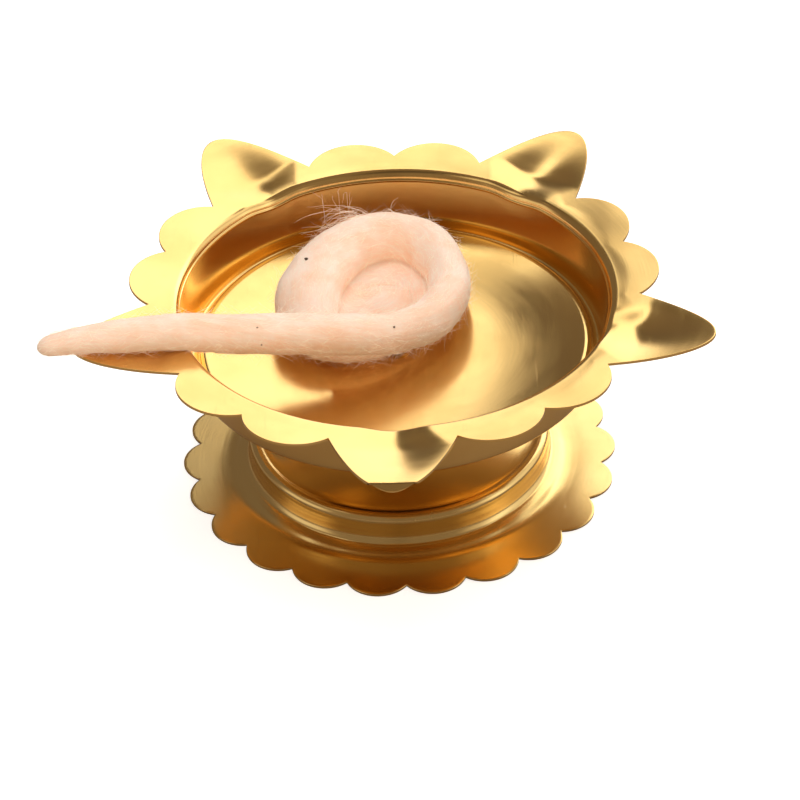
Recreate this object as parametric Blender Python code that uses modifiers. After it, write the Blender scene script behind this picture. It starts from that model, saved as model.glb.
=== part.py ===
"""A small brass oil lamp: a five-spouted bowl riveted to a scalloped foot, with a cotton wick in it.

Metres, +Z up. The lamp stands on Z = 0, with one spout pointing to -Y. The origin is the centre of
the metal's bounding box at the table, and the lamp's turning axis stands a little behind it,
because five spouts reach further to the front than to the back.
"""

from math import cos, hypot, pi, radians, sin, sqrt, tau

import bpy

# Sheet metal and clearances
SHEET = 0.0003  # brass sheet that the bowl and the foot are pressed from
SEAT_GAP = 0.0003  # between pieces that touch

# Bowl
RIM_HEIGHT = 0.0224  # top of the flange where it turns down into the bowl
RIM_RADIUS = 0.0240
RIM_ROLL = 0.0009  # radius of the turn from the flange into the wall
BOWL_DEPTH = 0.0074
FLOOR_EDGE = 0.0208
FLOOR_DISH = 0.0014  # how far the floor rises from its middle to its edge
# Groove round the floor: radius and depth below the rim, from the floor's edge to the wall
FLOOR_GROOVE = (
    (0.02080, -0.00600),
    (0.02134, -0.00652),
    (0.02164, -0.00694),
    (0.02204, -0.00696),
    (0.02230, -0.00640),
)
WALL_TAPER = 0.0008  # how far the wall leans in on its way down

# Flange of the bowl: spouts with pairs of round petals between them
SPOUTS = 5
PETALS_BETWEEN = 2
SPOUT_HALF_ANGLE = radians(14.36)
FLANGE_WIDTH = 0.0022  # from the rim to the notches
PETAL_LENGTH = 0.00255  # from the notches to the petal tips
SPOUT_LENGTH = 0.0090  # from the notches to the spout tips
FLANGE_SLOPE = 0.10
SPOUT_LIFT = 0.00025  # how far a spout's tip curls up above the flange's slope
CHANNEL_RIM_DEPTH = 0.0004
CHANNEL_DEPTH = 0.0009
CHANNEL_SWELL = 0.15  # share of the spout over which the channel deepens from the rim
CHANNEL_FADE = 1.7  # how early it fades towards the tip
CHANNEL_RIM_REACH = 0.0040  # half the channel's width at the rim
CHANNEL_SPREAD = 0.7  # how fast it widens on its way out
CHANNEL_RUNOUT = 0.0024  # how far down the wall the channel's dip dies away

# Foot
FOOT_PETALS = 22
FOOT_TURN = radians(2)  # how far the scallops are turned against the spouts
FOOT_NOTCH_RADIUS = 0.02243
FOOT_PETAL_LENGTH = 0.00164
# From the hollow flank over both beads to the flat flange: radius and height of the upper face
FOOT_SHOULDER = (
    (0.01480, 0.00468),
    (0.01530, 0.00456),
    (0.01575, 0.00468),
    (0.01620, 0.00462),
    (0.01660, 0.00420),
    (0.01668, 0.00350),
    (0.01650, 0.00260),
    (0.01655, 0.00180),
    (0.01690, 0.00124),
    (0.01735, 0.00104),
    (0.01785, 0.00082),
    (0.01840, 0.00050),
    (0.01900, 0.00034),
    (0.01980, SHEET),
)
NECK_RADIUS = 0.0080
NECK_TURN = 0.0008  # radius of the turn from the neck into the top plate
COVE_SAG = 0.0016  # how far the pedestal's flank is hollowed

# Rivet that joins the bowl and the foot
RIVET_RADIUS = 0.0010
RIVET_HEAD_RADIUS = 0.0018
RIVET_HEAD_HEIGHT = 0.00035
RIVET_TAIL_RADIUS = 0.0017
RIVET_TAIL_HEIGHT = 0.0005

# Cotton wick: one loose coil in the bowl, and a stretch that leaves over a spout
COIL_CENTRE = (-0.00265, 0.0062)  # from the lamp's axis
COIL_RADIUS = 0.0108
COIL_HOLE_RADIUS = 0.0034
COIL_TOP_DROP = 0.0010  # from the rim down to the coil's top
COIL_ROUNDING = 0.0016
# From the coil out over the spout: place from the axis, height above the rim, and radius
STEM_ROUTE = (
    (-0.00910, -0.00510, -0.00160, 0.00180),
    (-0.01310, -0.00600, -0.00100, 0.00175),
    (-0.01780, -0.00710, 0.00000, 0.00150),
    (-0.02255, -0.00828, 0.00135, 0.00125),
    (-0.02855, -0.00998, 0.00220, 0.00135),
    (-0.03326, -0.01154, 0.00285, 0.00115),
    (-0.03620, -0.01245, 0.00275, 0.00100),
)
STEM_STEPS = 4  # straight steps between two route points

# Fineness of the meshes
SPOUT_STEPS = 10
PETAL_STEPS = 4
FOOT_PETAL_STEPS = 4
ARC_STEP = radians(40)
TURNED_STEPS = 28
SHARP_ANGLE = radians(38)

# Sizes that follow
NOTCH_RADIUS = RIM_RADIUS + FLANGE_WIDTH
SPOUT_TIP_RADIUS = NOTCH_RADIUS + SPOUT_LENGTH
SECTOR = tau / SPOUTS
PETAL_ANGLE = (SECTOR - 2 * SPOUT_HALF_ANGLE) / PETALS_BETWEEN
SPOUT_ROOT = NOTCH_RADIUS * cos(SPOUT_HALF_ANGLE)
SPOUT_HALF_WIDTH = NOTCH_RADIUS * sin(SPOUT_HALF_ANGLE)
FLOOR_HEIGHT = RIM_HEIGHT - BOWL_DEPTH
WALL_TOP_RADIUS = RIM_RADIUS - RIM_ROLL
WALL_BOTTOM_RADIUS = WALL_TOP_RADIUS - WALL_TAPER
RIVET_HOLE_RADIUS = RIVET_RADIUS + SEAT_GAP
PLATE_HEIGHT = FLOOR_HEIGHT - SHEET - SEAT_GAP  # top of the foot, under the bowl


def tip_reach(turn):
    """How far a spout, a parabola in plan, reaches in a direction at this angle from its middle."""
    tip_curve = SPOUT_HALF_WIDTH**2 / (2 * (SPOUT_TIP_RADIUS - SPOUT_ROOT))
    return SPOUT_TIP_RADIUS * cos(turn) + tip_curve * sin(turn) ** 2 / (2 * cos(turn))


AXIS = (0, (SPOUT_TIP_RADIUS - tip_reach(SECTOR / 2)) / 2)


def clear_scene():
    for item in list(bpy.data.objects):
        bpy.data.objects.remove(item, do_unlink=True)


def metal(name, colour, roughness, metallic):
    material = bpy.data.materials.new(name)
    material.use_nodes = True
    shader = material.node_tree.nodes["Principled BSDF"]
    shader.inputs["Base Color"].default_value = (*colour, 1.0)
    shader.inputs["Roughness"].default_value = roughness
    shader.inputs["Metallic"].default_value = metallic
    return material


def add_part(name, data, material, place):
    """Put a mesh or curve in the lamp's collection, placed from the lamp's axis."""
    part = bpy.data.objects.new(name, data)
    data.materials.append(material)
    bpy.data.collections["oil_lamp"].objects.link(part)
    part.parent = bpy.data.objects["lamp_axis"]
    part.location = place
    return part


def arc(centre, radius, start, end):
    """Points along an arc in the (radius, height) plane, from one angle in degrees to another."""
    steps = max(2, round(abs(radians(end - start)) / ARC_STEP))
    turns = [radians(start + (end - start) * i / steps) for i in range(steps + 1)]
    return [(centre[0] + radius * cos(t), centre[1] + radius * sin(t)) for t in turns]


def hollow_line(start, end, sag, steps):
    """Points of a shallow hollow between two points, sagging to the left of the way from start to end."""
    along = (end[0] - start[0], end[1] - start[1])
    length = sqrt(along[0] ** 2 + along[1] ** 2)
    normal = (-along[1] / length, along[0] / length)
    points = []
    for i in range(steps + 1):
        t = i / steps
        bow = sag * 4 * t * (1 - t)
        points.append((start[0] + along[0] * t + normal[0] * bow, start[1] + along[1] * t + normal[1] * bow))
    return points


def petal_edge(turn, width, notch, length):
    """Radius of a round petal's edge, this far in angle from the petal's middle."""
    half_chord = notch * sin(width / 2)
    height = notch + length - notch * cos(width / 2)
    curve = (half_chord**2 + height**2) / (2 * height)
    centre = notch + length - curve
    return centre * cos(turn) + sqrt(curve**2 - (centre * sin(turn)) ** 2)


def spout_edge(turn):
    """Radius of a spout's edge, this far in angle from the spout's middle."""
    fall = SPOUT_HALF_WIDTH**2 / (SPOUT_TIP_RADIUS - SPOUT_ROOT)
    square, linear = sin(turn) ** 2, fall * cos(turn)
    constant = SPOUT_HALF_WIDTH**2 + fall * SPOUT_ROOT
    return 2 * constant / (linear + sqrt(linear**2 + 4 * square * constant))


def bowl_edge(turn):
    """Radius of the flange's edge, at an angle from the nearest spout's middle."""
    turn = abs(turn)
    if turn <= SPOUT_HALF_ANGLE:
        return spout_edge(turn)
    petal = (turn - SPOUT_HALF_ANGLE) % PETAL_ANGLE
    return petal_edge(petal - PETAL_ANGLE / 2, PETAL_ANGLE, NOTCH_RADIUS, PETAL_LENGTH)


def ease(share):
    share = min(max(share, 0.0), 1.0)
    return share * share * (3 - 2 * share)


def channel_dip(radius, turn):
    """How far the wick channel lies below the flange, at a radius and an angle from a spout's middle."""
    if abs(turn) >= SPOUT_HALF_ANGLE:
        return 0.0
    along, across = radius * cos(turn), radius * abs(sin(turn))
    beyond = min(max((along - SPOUT_ROOT) / (SPOUT_TIP_RADIUS - SPOUT_ROOT), 0.0), 1.0)
    reach = CHANNEL_RIM_REACH + CHANNEL_SPREAD * max(along - RIM_RADIUS, 0.0)
    reach = min(reach, SPOUT_HALF_WIDTH * (0.25 + 0.8 * sqrt(1 - beyond)))
    outward = min(max((along - RIM_RADIUS) / (SPOUT_TIP_RADIUS - RIM_RADIUS), 0.0), 1.0)
    swell = CHANNEL_RIM_DEPTH + (CHANNEL_DEPTH - CHANNEL_RIM_DEPTH) * ease(outward / CHANNEL_SWELL)
    depth = swell * (1 - outward) ** CHANNEL_FADE
    return depth * (1 + cos(pi * min(across / reach, 1.0))) / 2


def flange_height(radius, turn):
    """Top of the bowl's flange above the rim."""
    height = FLANGE_SLOPE * (radius - RIM_RADIUS) - channel_dip(radius, turn)
    if abs(turn) < SPOUT_HALF_ANGLE:
        beyond = max((radius * cos(turn) - SPOUT_ROOT) / (SPOUT_TIP_RADIUS - SPOUT_ROOT), 0.0)
        height += SPOUT_LIFT * beyond**2
    return height


def floor_height(radius):
    """Top of the bowl's floor, which is slightly dished."""
    return FLOOR_HEIGHT + FLOOR_DISH * (radius / FLOOR_EDGE) ** 2


def bowl_turns():
    """Angles round the bowl, each with its angle from the nearest spout's middle."""
    turns = []
    for spout in range(SPOUTS):
        middle = -pi / 2 + spout * SECTOR
        for i in range(SPOUT_STEPS):
            turn = SPOUT_HALF_ANGLE * (2 * i / SPOUT_STEPS - 1)
            turns.append((middle + turn, turn))
        for i in range(PETALS_BETWEEN * PETAL_STEPS):
            turn = SPOUT_HALF_ANGLE + PETAL_ANGLE * i / PETAL_STEPS
            nearest = turn if turn <= SECTOR / 2 else turn - SECTOR
            turns.append((middle + turn, nearest))
    return turns


def sheet_part(name, rings, material):
    """A pressed sheet: its upper face through rings of points from the middle out, with thickness below."""
    count = len(rings[0])
    points = [point for ring in rings for point in ring]
    faces = []
    for row in range(len(rings) - 1):
        inner, outer = row * count, (row + 1) * count
        for i in range(count):
            j = (i + 1) % count
            faces.append((inner + i, outer + i, outer + j, inner + j))
    mesh = bpy.data.meshes.new(name)
    mesh.from_pydata(points, [], faces)
    mesh.shade_smooth()
    mesh.set_sharp_from_angle(angle=SHARP_ANGLE)
    part = add_part(name, mesh, material, (0, 0, 0))
    thickness = part.modifiers.new("sheet_thickness", "SOLIDIFY")
    thickness.thickness = SHEET
    thickness.offset = -1
    thickness.use_even_offset = True
    return part


def turned_part(name, profile, closed, material, place):
    """A turned solid from its profile of (radius, height), run from the top down its outer side."""
    points = [(radius, 0, height) for radius, height in profile]
    edges = [(i, i + 1) for i in range(len(points) - 1)]
    if closed:
        edges.append((len(points) - 1, 0))
    mesh = bpy.data.meshes.new(name)
    mesh.from_pydata(points, edges, [])
    part = add_part(name, mesh, material, place)
    turning = part.modifiers.new("turning", "SCREW")
    turning.steps = turning.render_steps = TURNED_STEPS
    turning.use_merge_vertices = True
    turning.merge_threshold = 0.00001
    return part


def make_bowl(material):
    turns = bowl_turns()
    round_part = []
    for share in (0, 0.25, 0.5, 0.75):
        radius = RIVET_HOLE_RADIUS + (FLOOR_EDGE - RIVET_HOLE_RADIUS) * share
        round_part.append((radius, floor_height(radius) - RIM_HEIGHT))
    round_part += FLOOR_GROOVE
    runout_height = -RIM_ROLL - CHANNEL_RUNOUT
    share = (runout_height - round_part[-1][1]) / (-RIM_ROLL - round_part[-1][1])
    round_part.append((WALL_BOTTOM_RADIUS + WALL_TAPER * share, runout_height))
    roll = arc((RIM_RADIUS, -RIM_ROLL), RIM_ROLL, 180, 90)[:-1]
    rings = []
    for radius, height in round_part:
        rings.append([(radius * cos(a), radius * sin(a), RIM_HEIGHT + height) for a, _ in turns])
    for radius, height in roll:
        heights = [RIM_HEIGHT + height - channel_dip(RIM_RADIUS, turn) for _, turn in turns]
        rings.append([(radius * cos(a), radius * sin(a), h) for (a, _), h in zip(turns, heights)])
    for share in (0, 0.2, 0.45, 0.72, 1):
        ring = []
        for angle, turn in turns:
            radius = RIM_RADIUS + share * (bowl_edge(turn) - RIM_RADIUS)
            height = RIM_HEIGHT + flange_height(radius, turn)
            ring.append((radius * cos(angle), radius * sin(angle), height))
        rings.append(ring)
    return sheet_part("bowl", rings, material)


def foot_profile():
    """The foot's upper face as (radius, height) from the rivet hole out to the flat of its flange."""
    neck = (NECK_RADIUS - NECK_TURN, PLATE_HEIGHT - NECK_TURN)
    points = [(RIVET_HOLE_RADIUS, PLATE_HEIGHT)] + arc(neck, NECK_TURN, 90, 0)
    points += hollow_line(points[-1], FOOT_SHOULDER[0], -COVE_SAG, 5)[1:-1]
    points += FOOT_SHOULDER
    return points


def make_foot(material):
    petal = tau / FOOT_PETALS
    count = FOOT_PETALS * FOOT_PETAL_STEPS
    angles = [FOOT_TURN - pi / 2 + tau * i / count for i in range(count)]
    rings = []
    for radius, height in foot_profile():
        rings.append([(radius * cos(a), radius * sin(a), height) for a in angles])
    edge = []
    for i, angle in enumerate(angles):
        turn = petal * ((i % FOOT_PETAL_STEPS) / FOOT_PETAL_STEPS - 0.5)
        radius = petal_edge(turn, petal, FOOT_NOTCH_RADIUS, FOOT_PETAL_LENGTH)
        edge.append((radius * cos(angle), radius * sin(angle), SHEET))
    rings.append(edge)
    return sheet_part("foot", rings, material)


def make_rivet(material):
    head_seat = FLOOR_HEIGHT + SEAT_GAP
    tail_seat = PLATE_HEIGHT - SHEET - SEAT_GAP
    dome = [(RIVET_HEAD_RADIUS * sin(t), head_seat + RIVET_HEAD_HEIGHT * cos(t)) for t in (0, pi / 6, pi / 3)]
    profile = dome + [(RIVET_HEAD_RADIUS, head_seat), (RIVET_RADIUS, head_seat), (RIVET_RADIUS, tail_seat)]
    profile += [(RIVET_TAIL_RADIUS, tail_seat), (RIVET_TAIL_RADIUS, tail_seat - RIVET_TAIL_HEIGHT / 2)]
    profile += [(RIVET_TAIL_RADIUS / 2, tail_seat - RIVET_TAIL_HEIGHT), (0, tail_seat - RIVET_TAIL_HEIGHT)]
    return turned_part("centre_rivet", profile, False, material, (0, 0, 0))


def make_wick_coil(material):
    rest_radius = hypot(*COIL_CENTRE) + COIL_RADIUS - COIL_ROUNDING
    bottom = floor_height(rest_radius) + SEAT_GAP
    top = RIM_HEIGHT - COIL_TOP_DROP
    low, high = bottom + COIL_ROUNDING, top - COIL_ROUNDING
    outer, inner = COIL_RADIUS - COIL_ROUNDING, COIL_HOLE_RADIUS + COIL_ROUNDING
    profile = arc((outer, high), COIL_ROUNDING, 90, 0) + arc((outer, low), COIL_ROUNDING, 0, -90)
    profile += arc((inner, low), COIL_ROUNDING, -90, -180) + arc((inner, high), COIL_ROUNDING, 180, 90)
    return turned_part("wick_coil", profile, True, material, (*COIL_CENTRE, 0))


def smooth_route(points, steps):
    """Points read from a smooth curve through the route's own points."""
    route = []
    for i in range(len(points) - 1):
        before, start = points[max(i - 1, 0)], points[i]
        end, after = points[i + 1], points[min(i + 2, len(points) - 1)]
        for step in range(steps):
            t = step / steps
            weights = (
                (-t + 2 * t**2 - t**3) / 2,
                (2 - 5 * t**2 + 3 * t**3) / 2,
                (t + 4 * t**2 - 3 * t**3) / 2,
                (-(t**2) + t**3) / 2,
            )
            four = (before, start, end, after)
            route.append(tuple(sum(w * p[k] for w, p in zip(weights, four)) for k in range(len(start))))
    route.append(points[-1])
    return route


def make_wick_stem(material):
    curve = bpy.data.curves.new("wick_stem", "CURVE")
    curve.dimensions = "3D"
    curve.bevel_depth = 1.0
    curve.bevel_resolution = 3
    curve.use_fill_caps = True
    route = smooth_route(STEM_ROUTE, STEM_STEPS)
    spline = curve.splines.new("POLY")
    spline.points.add(len(route) - 1)
    for point, (x, y, above_rim, radius) in zip(spline.points, route):
        point.co = (x, y, RIM_HEIGHT + above_rim, 1)
        point.radius = radius
    return add_part("wick_stem", curve, material, (0, 0, 0))


def main():
    clear_scene()
    collection = bpy.data.collections.new("oil_lamp")
    bpy.context.scene.collection.children.link(collection)
    axis = bpy.data.objects.new("lamp_axis", None)
    collection.objects.link(axis)
    axis.location = (*AXIS, 0)
    brass = metal("polished_brass", (0.72, 0.47, 0.16), 0.22, 1.0)
    rivet_brass = metal("rivet_brass", (0.60, 0.40, 0.16), 0.38, 1.0)
    cotton = metal("cotton", (0.88, 0.80, 0.72), 0.95, 0.0)
    make_bowl(brass)
    make_foot(brass)
    make_rivet(rivet_brass)
    make_wick_coil(cotton)
    make_wick_stem(cotton)


main()
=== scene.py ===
"""Looks of a small brass oil lamp: pressed sheet brass, a rivet and a hand-rolled cotton wick.

Metres, +Z up. The lamp stands on Z = 0 with one spout pointing to -Y. Shapes are measured from the
lamp's turning axis, which runs up the middle of the foot.
"""

from math import atan2, cos, exp, hypot, pi, radians, sin, sqrt, tau
from random import Random

import bpy
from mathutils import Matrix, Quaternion, Vector, noise
from mathutils.kdtree import KDTree


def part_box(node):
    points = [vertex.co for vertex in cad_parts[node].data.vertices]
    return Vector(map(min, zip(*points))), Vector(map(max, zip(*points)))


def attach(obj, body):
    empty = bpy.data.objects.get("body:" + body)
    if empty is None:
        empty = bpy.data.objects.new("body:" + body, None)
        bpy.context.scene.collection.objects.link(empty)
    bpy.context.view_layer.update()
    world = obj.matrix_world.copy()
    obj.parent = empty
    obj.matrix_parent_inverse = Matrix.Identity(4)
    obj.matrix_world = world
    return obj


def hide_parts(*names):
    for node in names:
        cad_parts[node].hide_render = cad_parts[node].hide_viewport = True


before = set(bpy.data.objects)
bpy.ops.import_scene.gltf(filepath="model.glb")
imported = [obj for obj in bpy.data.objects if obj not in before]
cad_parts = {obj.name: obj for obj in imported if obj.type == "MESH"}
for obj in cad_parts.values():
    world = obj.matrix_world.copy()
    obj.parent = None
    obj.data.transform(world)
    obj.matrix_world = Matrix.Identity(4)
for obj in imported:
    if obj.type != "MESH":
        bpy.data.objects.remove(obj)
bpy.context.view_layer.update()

# Sheet metal and clearances
SHEET = 0.0003
SEAT_GAP = 0.0003

# Bowl
RIM_HEIGHT = 0.0224
RIM_RADIUS = 0.0240
RIM_ROLL = 0.0009
BOWL_DEPTH = 0.0074
FLOOR_EDGE = 0.0208
FLOOR_DISH = 0.0014  # how far the floor rises from its middle to its edge
# Groove round the floor: radius and depth below the rim, from the floor's edge to the wall
FLOOR_GROOVE = (
    (0.02080, -0.00600),
    (0.02112, -0.00616),
    (0.02134, -0.00652),
    (0.02156, -0.00688),
    (0.02190, -0.00702),
    (0.02218, -0.00684),
    (0.02230, -0.00640),
)
WALL_TAPER = 0.0008
SPOUTS = 5
PETALS_BETWEEN = 2
SPOUT_HALF_ANGLE = radians(14.36)
FLANGE_WIDTH = 0.0022
PETAL_LENGTH = 0.00255
SPOUT_LENGTH = 0.0090
FLANGE_SLOPE = 0.10
SPOUT_LIFT = 0.00025
BENT_TIP = 0.0013  # length of the front spout's tip that is knocked down
BENT_TIP_FALL = 0.0011
BENT_TIP_REACH = 0.35  # share of its length that the bent tip still reaches outward
CHANNEL_RIM_DEPTH = 0.0004
CHANNEL_DEPTH = 0.0009
CHANNEL_SWELL = 0.30  # share of the spout over which the channel deepens from the rim
CHANNEL_FADE = 1.4  # how early it fades towards the tip
CHANNEL_RIM_REACH = 0.0040  # half the channel's width at the rim
CHANNEL_SPREAD = 0.7  # how fast it widens on its way out
CHANNEL_RUNOUT = 0.0024
RIM_BEAD_DROP = 0.00105  # fine bead under the rim, inside the bowl
RIM_BEAD_SIZE = 0.00011

# Foot
FOOT_PETALS = 22
FOOT_TURN = radians(2)  # how far the scallops are turned against the spouts
FOOT_NOTCH_RADIUS = 0.02243
FOOT_PETAL_LENGTH = 0.00164
FOOT_FLAT_RADIUS = 0.0198
# From the cove out to the flange, over both beads: radius and height of the upper face
FOOT_SHOULDER = (
    (0.01480, 0.00468),
    (0.01530, 0.00456),
    (0.01575, 0.00468),
    (0.01620, 0.00462),
    (0.01660, 0.00420),
    (0.01668, 0.00350),
    (0.01650, 0.00260),
    (0.01655, 0.00180),
    (0.01690, 0.00124),
    (0.01735, 0.00104),
    (0.01785, 0.00082),
    (0.01840, 0.00050),
    (0.01900, 0.00034),
    (0.01980, 0.00030),
)
NECK_RADIUS = 0.0080
NECK_TURN = 0.0008
COVE_SAG = 0.0016

# Rivet
RIVET_RADIUS = 0.0010
RIVET_HEAD_RADIUS = 0.0018
RIVET_HEAD_HEIGHT = 0.00035
RIVET_TAIL_RADIUS = 0.0017
RIVET_TAIL_HEIGHT = 0.0005

# Wick: place from the axis, height above the rim, half its width and half its height.
# The first seven points lie over the spout, and the rest wind the coil in the bowl.
WICK_ROUTE = (
    (-0.03690, -0.01270, 0.00270, 0.00105, 0.00095),
    (-0.03326, -0.01154, 0.00275, 0.00145, 0.00130),
    (-0.02855, -0.00998, 0.00210, 0.00195, 0.00170),
    (-0.02255, -0.00828, 0.00130, 0.00225, 0.00180),
    (-0.01780, -0.00710, 0.00000, 0.00230, 0.00205),
    (-0.01310, -0.00600, -0.00100, 0.00230, 0.00205),
    (-0.00910, -0.00520, -0.00160, 0.00235, 0.00215),
    (-0.00480, -0.00440, -0.00240, 0.00235, 0.00215),
    (-0.00080, -0.00310, -0.00330, 0.00225, 0.00220),
    (0.00320, -0.00060, -0.00390, 0.00225, 0.00240),
    (0.00540, 0.00300, -0.00400, 0.00225, 0.00255),
    (0.00600, 0.00680, -0.00400, 0.00230, 0.00265),
    (0.00520, 0.01080, -0.00400, 0.00250, 0.00270),
    (0.00280, 0.01460, -0.00400, 0.00270, 0.00275),
    (-0.00100, 0.01600, -0.00390, 0.00290, 0.00280),
    (-0.00500, 0.01390, -0.00380, 0.00300, 0.00285),
    (-0.00800, 0.01000, -0.00380, 0.00335, 0.00285),
    (-0.00935, 0.00540, -0.00390, 0.00370, 0.00280),
    (-0.00930, 0.00140, -0.00450, 0.00345, 0.00235),
    (-0.00760, -0.00120, -0.00540, 0.00280, 0.00190),
    (-0.00430, -0.00200, -0.00590, 0.00220, 0.00130),
    (-0.00080, -0.00060, -0.00600, 0.00220, 0.00115),
    (0.00180, 0.00200, -0.00620, 0.00240, 0.00095),
    (0.00270, 0.00580, -0.00620, 0.00240, 0.00090),
    (0.00200, 0.00960, -0.00620, 0.00250, 0.00090),
    (-0.00040, 0.01170, -0.00620, 0.00260, 0.00090),
    (-0.00360, 0.01120, -0.00620, 0.00260, 0.00090),
    (-0.00560, 0.00870, -0.00620, 0.00260, 0.00090),
    (-0.00520, 0.00580, -0.00605, 0.00280, 0.00110),
    (-0.00340, 0.00440, -0.00585, 0.00300, 0.00140),
    (-0.00150, 0.00500, -0.00565, 0.00310, 0.00165),
    (-0.00120, 0.00680, -0.00580, 0.00300, 0.00145),
    (-0.00110, 0.00880, -0.00640, 0.00240, 0.00080),
)
TUFT_POINT = 14.4  # where along the route a tuft of fibres has pulled out
WICK_STEPS = 20  # sections between two route points
WICK_AROUND = 96
WICK_SKIN = 0.0002  # fineness of the cotton's skin
WICK_LIFT = 0.0001  # least space under the cotton
WICK_TWIST = 55.0  # radians that the fibres turn in a metre
WICK_END = 0.0016  # length over which each end rounds off
WICK_SOFTENING = 16  # passes that soften the creases between the coil's turns
FIBRE_SPREAD = 0.002  # scale of the fibres' own way round the wick

# Loose fibres and seed husk in the cotton
FUZZ_FIBRES = 9000
FUZZ_THICKNESS = 0.000012
FUZZ_STEPS = 4
FUZZ_RISE = 0.0012
TUFT_OFFSET = (-0.0010, 0.0014, 0.0018)
TUFT_SWEEP = (-1, -0.10, 0.16)
TUFT_FIBRES = 70
TUFT_REACH = 0.0080
TUFT_SPREAD = 0.0007
TUFT_STEPS = 12
TUFT_THICKNESS = 0.000022
STRAY_OFFSET = (0.0035, 0.0004, 0.0003)
STRAY_SWEEP = (-0.6, 0.6, 0.8)
# Seed husk: share of the wick's length, turn round it, and size
FLECKS = ((0.515, 1.35, 0.00022), (0.25, 0.9, 0.00014), (0.143, 1.0, 0.0001), (0.147, 0.15, 0.0001))
FLECK_SIDES = 7

# Waves left in the sheet: their size and depth
FLOOR_WAVE = (0.012, 0.00006)
FLANGE_WAVE = (0.006, 0.00004)
FOOT_WAVE = (0.007, 0.00006)

# Fineness of the meshes
SPOUT_STEPS = 60
PETAL_STEPS = 30
FOOT_PETAL_STEPS = 18
FLOOR_STEPS = 44
GROOVE_STEPS = 5
WALL_STEPS = 40
FLANGE_STEPS = 30
SHOULDER_STEPS = 7
COVE_STEPS = 30
FOOT_FLANGE_STEPS = 12
ARC_STEP = radians(9)
TURNED_STEPS = 96
EDGE_BREAK = 0.00006  # rounding of a sheet's cut edges

# Finishes: each brass has a rubbed and a dull colour
BOWL_RUBBED, BOWL_DULL = (0.90, 0.60, 0.22, 1), (0.82, 0.52, 0.17, 1)
FOOT_RUBBED, FOOT_DULL = (0.88, 0.62, 0.25, 1), (0.79, 0.53, 0.19, 1)
RIVET_RUBBED, RIVET_DULL = (0.80, 0.55, 0.22, 1), (0.60, 0.38, 0.15, 1)
COTTON_PALE, COTTON_WARM = (0.98, 0.81, 0.69, 1), (0.94, 0.64, 0.46, 1)
FIBRE_PALE, FIBRE_WARM = (1.0, 0.90, 0.80, 1), (0.98, 0.84, 0.72, 1)
HUSK_DARK, HUSK_PALE = (0.035, 0.022, 0.014, 1), (0.11, 0.065, 0.035, 1)

# Studio
VIEW_HEIGHT, VIEW_BEARING, VIEW_ROLL = radians(37.60), radians(1.296), radians(-2.04)
VIEW_DISTANCE = 0.33235
VIEW_AIM = (0.000265, 0.007665)
VIEW_LENS = 135.81
FLOOR_SIZE = 3.0
FLOOR_GLOW = 0.75
DIM_SURROUNDINGS = 0.10
# Soft windows: bearing from and to (0 is behind the lamp, 90 to its right), height from and to, softness
# and strength
WINDOWS = (
    (-4.0, 55, 2, 46.5, 1.4, 1.70),
    (-18, 55, 46.5, 54, 1.4, 1.70),
    (55, 102, 40, 57, 5, 1.0),
    (30, 115, -12, 38, 10, 0.90),
    (-130, -70, 50, 68, 6, 0.75),
    (-180, -85, -5, 60, 8, 0.15),
    (100, 180, -5, 60, 8, 0.15),
    (-128, -92, 2, 30, 6, 0.60),
    (98, 135, 2, 34, 6, 0.40),
    (-60, 150, 57, 90, 6, 0.12),
    (-85, -10, -5, 50, 8, 0.09),
)

# Sizes that follow
NOTCH_RADIUS = RIM_RADIUS + FLANGE_WIDTH
SPOUT_TIP_RADIUS = NOTCH_RADIUS + SPOUT_LENGTH
SECTOR = tau / SPOUTS
PETAL_ANGLE = (SECTOR - 2 * SPOUT_HALF_ANGLE) / PETALS_BETWEEN
SPOUT_ROOT = NOTCH_RADIUS * cos(SPOUT_HALF_ANGLE)
SPOUT_HALF_WIDTH = NOTCH_RADIUS * sin(SPOUT_HALF_ANGLE)
FLOOR_HEIGHT = RIM_HEIGHT - BOWL_DEPTH
WALL_TOP_RADIUS = RIM_RADIUS - RIM_ROLL
WALL_BOTTOM_RADIUS = WALL_TOP_RADIUS - WALL_TAPER
RIVET_HOLE_RADIUS = RIVET_RADIUS + SEAT_GAP
PLATE_HEIGHT = FLOOR_HEIGHT - SHEET - SEAT_GAP

foot_low, foot_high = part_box("foot")
AXIS = Vector(((foot_low.x + foot_high.x) / 2, (foot_low.y + foot_high.y) / 2, 0))


# Camera

def make_camera():
    camera = bpy.data.objects.new("camera", bpy.data.cameras.new("camera"))
    bpy.context.scene.collection.objects.link(camera)
    aim = Vector((VIEW_AIM[0], AXIS.y, VIEW_AIM[1]))
    flat = cos(VIEW_HEIGHT)
    back = Vector((sin(VIEW_BEARING) * flat, -cos(VIEW_BEARING) * flat, sin(VIEW_HEIGHT)))
    camera.location = aim + back * VIEW_DISTANCE
    camera.rotation_mode = "QUATERNION"
    camera.rotation_quaternion = (-back).to_track_quat("-Z", "Y") @ Quaternion((0, 0, 1), VIEW_ROLL)
    camera.data.lens = VIEW_LENS
    camera.data.clip_start, camera.data.clip_end = 0.01, 20
    bpy.context.scene.camera = camera


# Node building

def add_node(tree, kind, inputs=None, **settings):
    """A node with its settings, and each input set to a value or linked from another node's output."""
    made = tree.nodes.new(kind)
    for name, value in settings.items():
        setattr(made, name, value)
    for name, value in (inputs or {}).items():
        if isinstance(value, bpy.types.NodeSocket):
            tree.links.new(value, made.inputs[name])
        else:
            made.inputs[name].default_value = value
    return made


def calc(tree, operation, first, second=0.0, third=0.0):
    made = add_node(tree, "ShaderNodeMath", {0: first, 1: second, 2: third}, operation=operation)
    return made.outputs[0]


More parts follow.
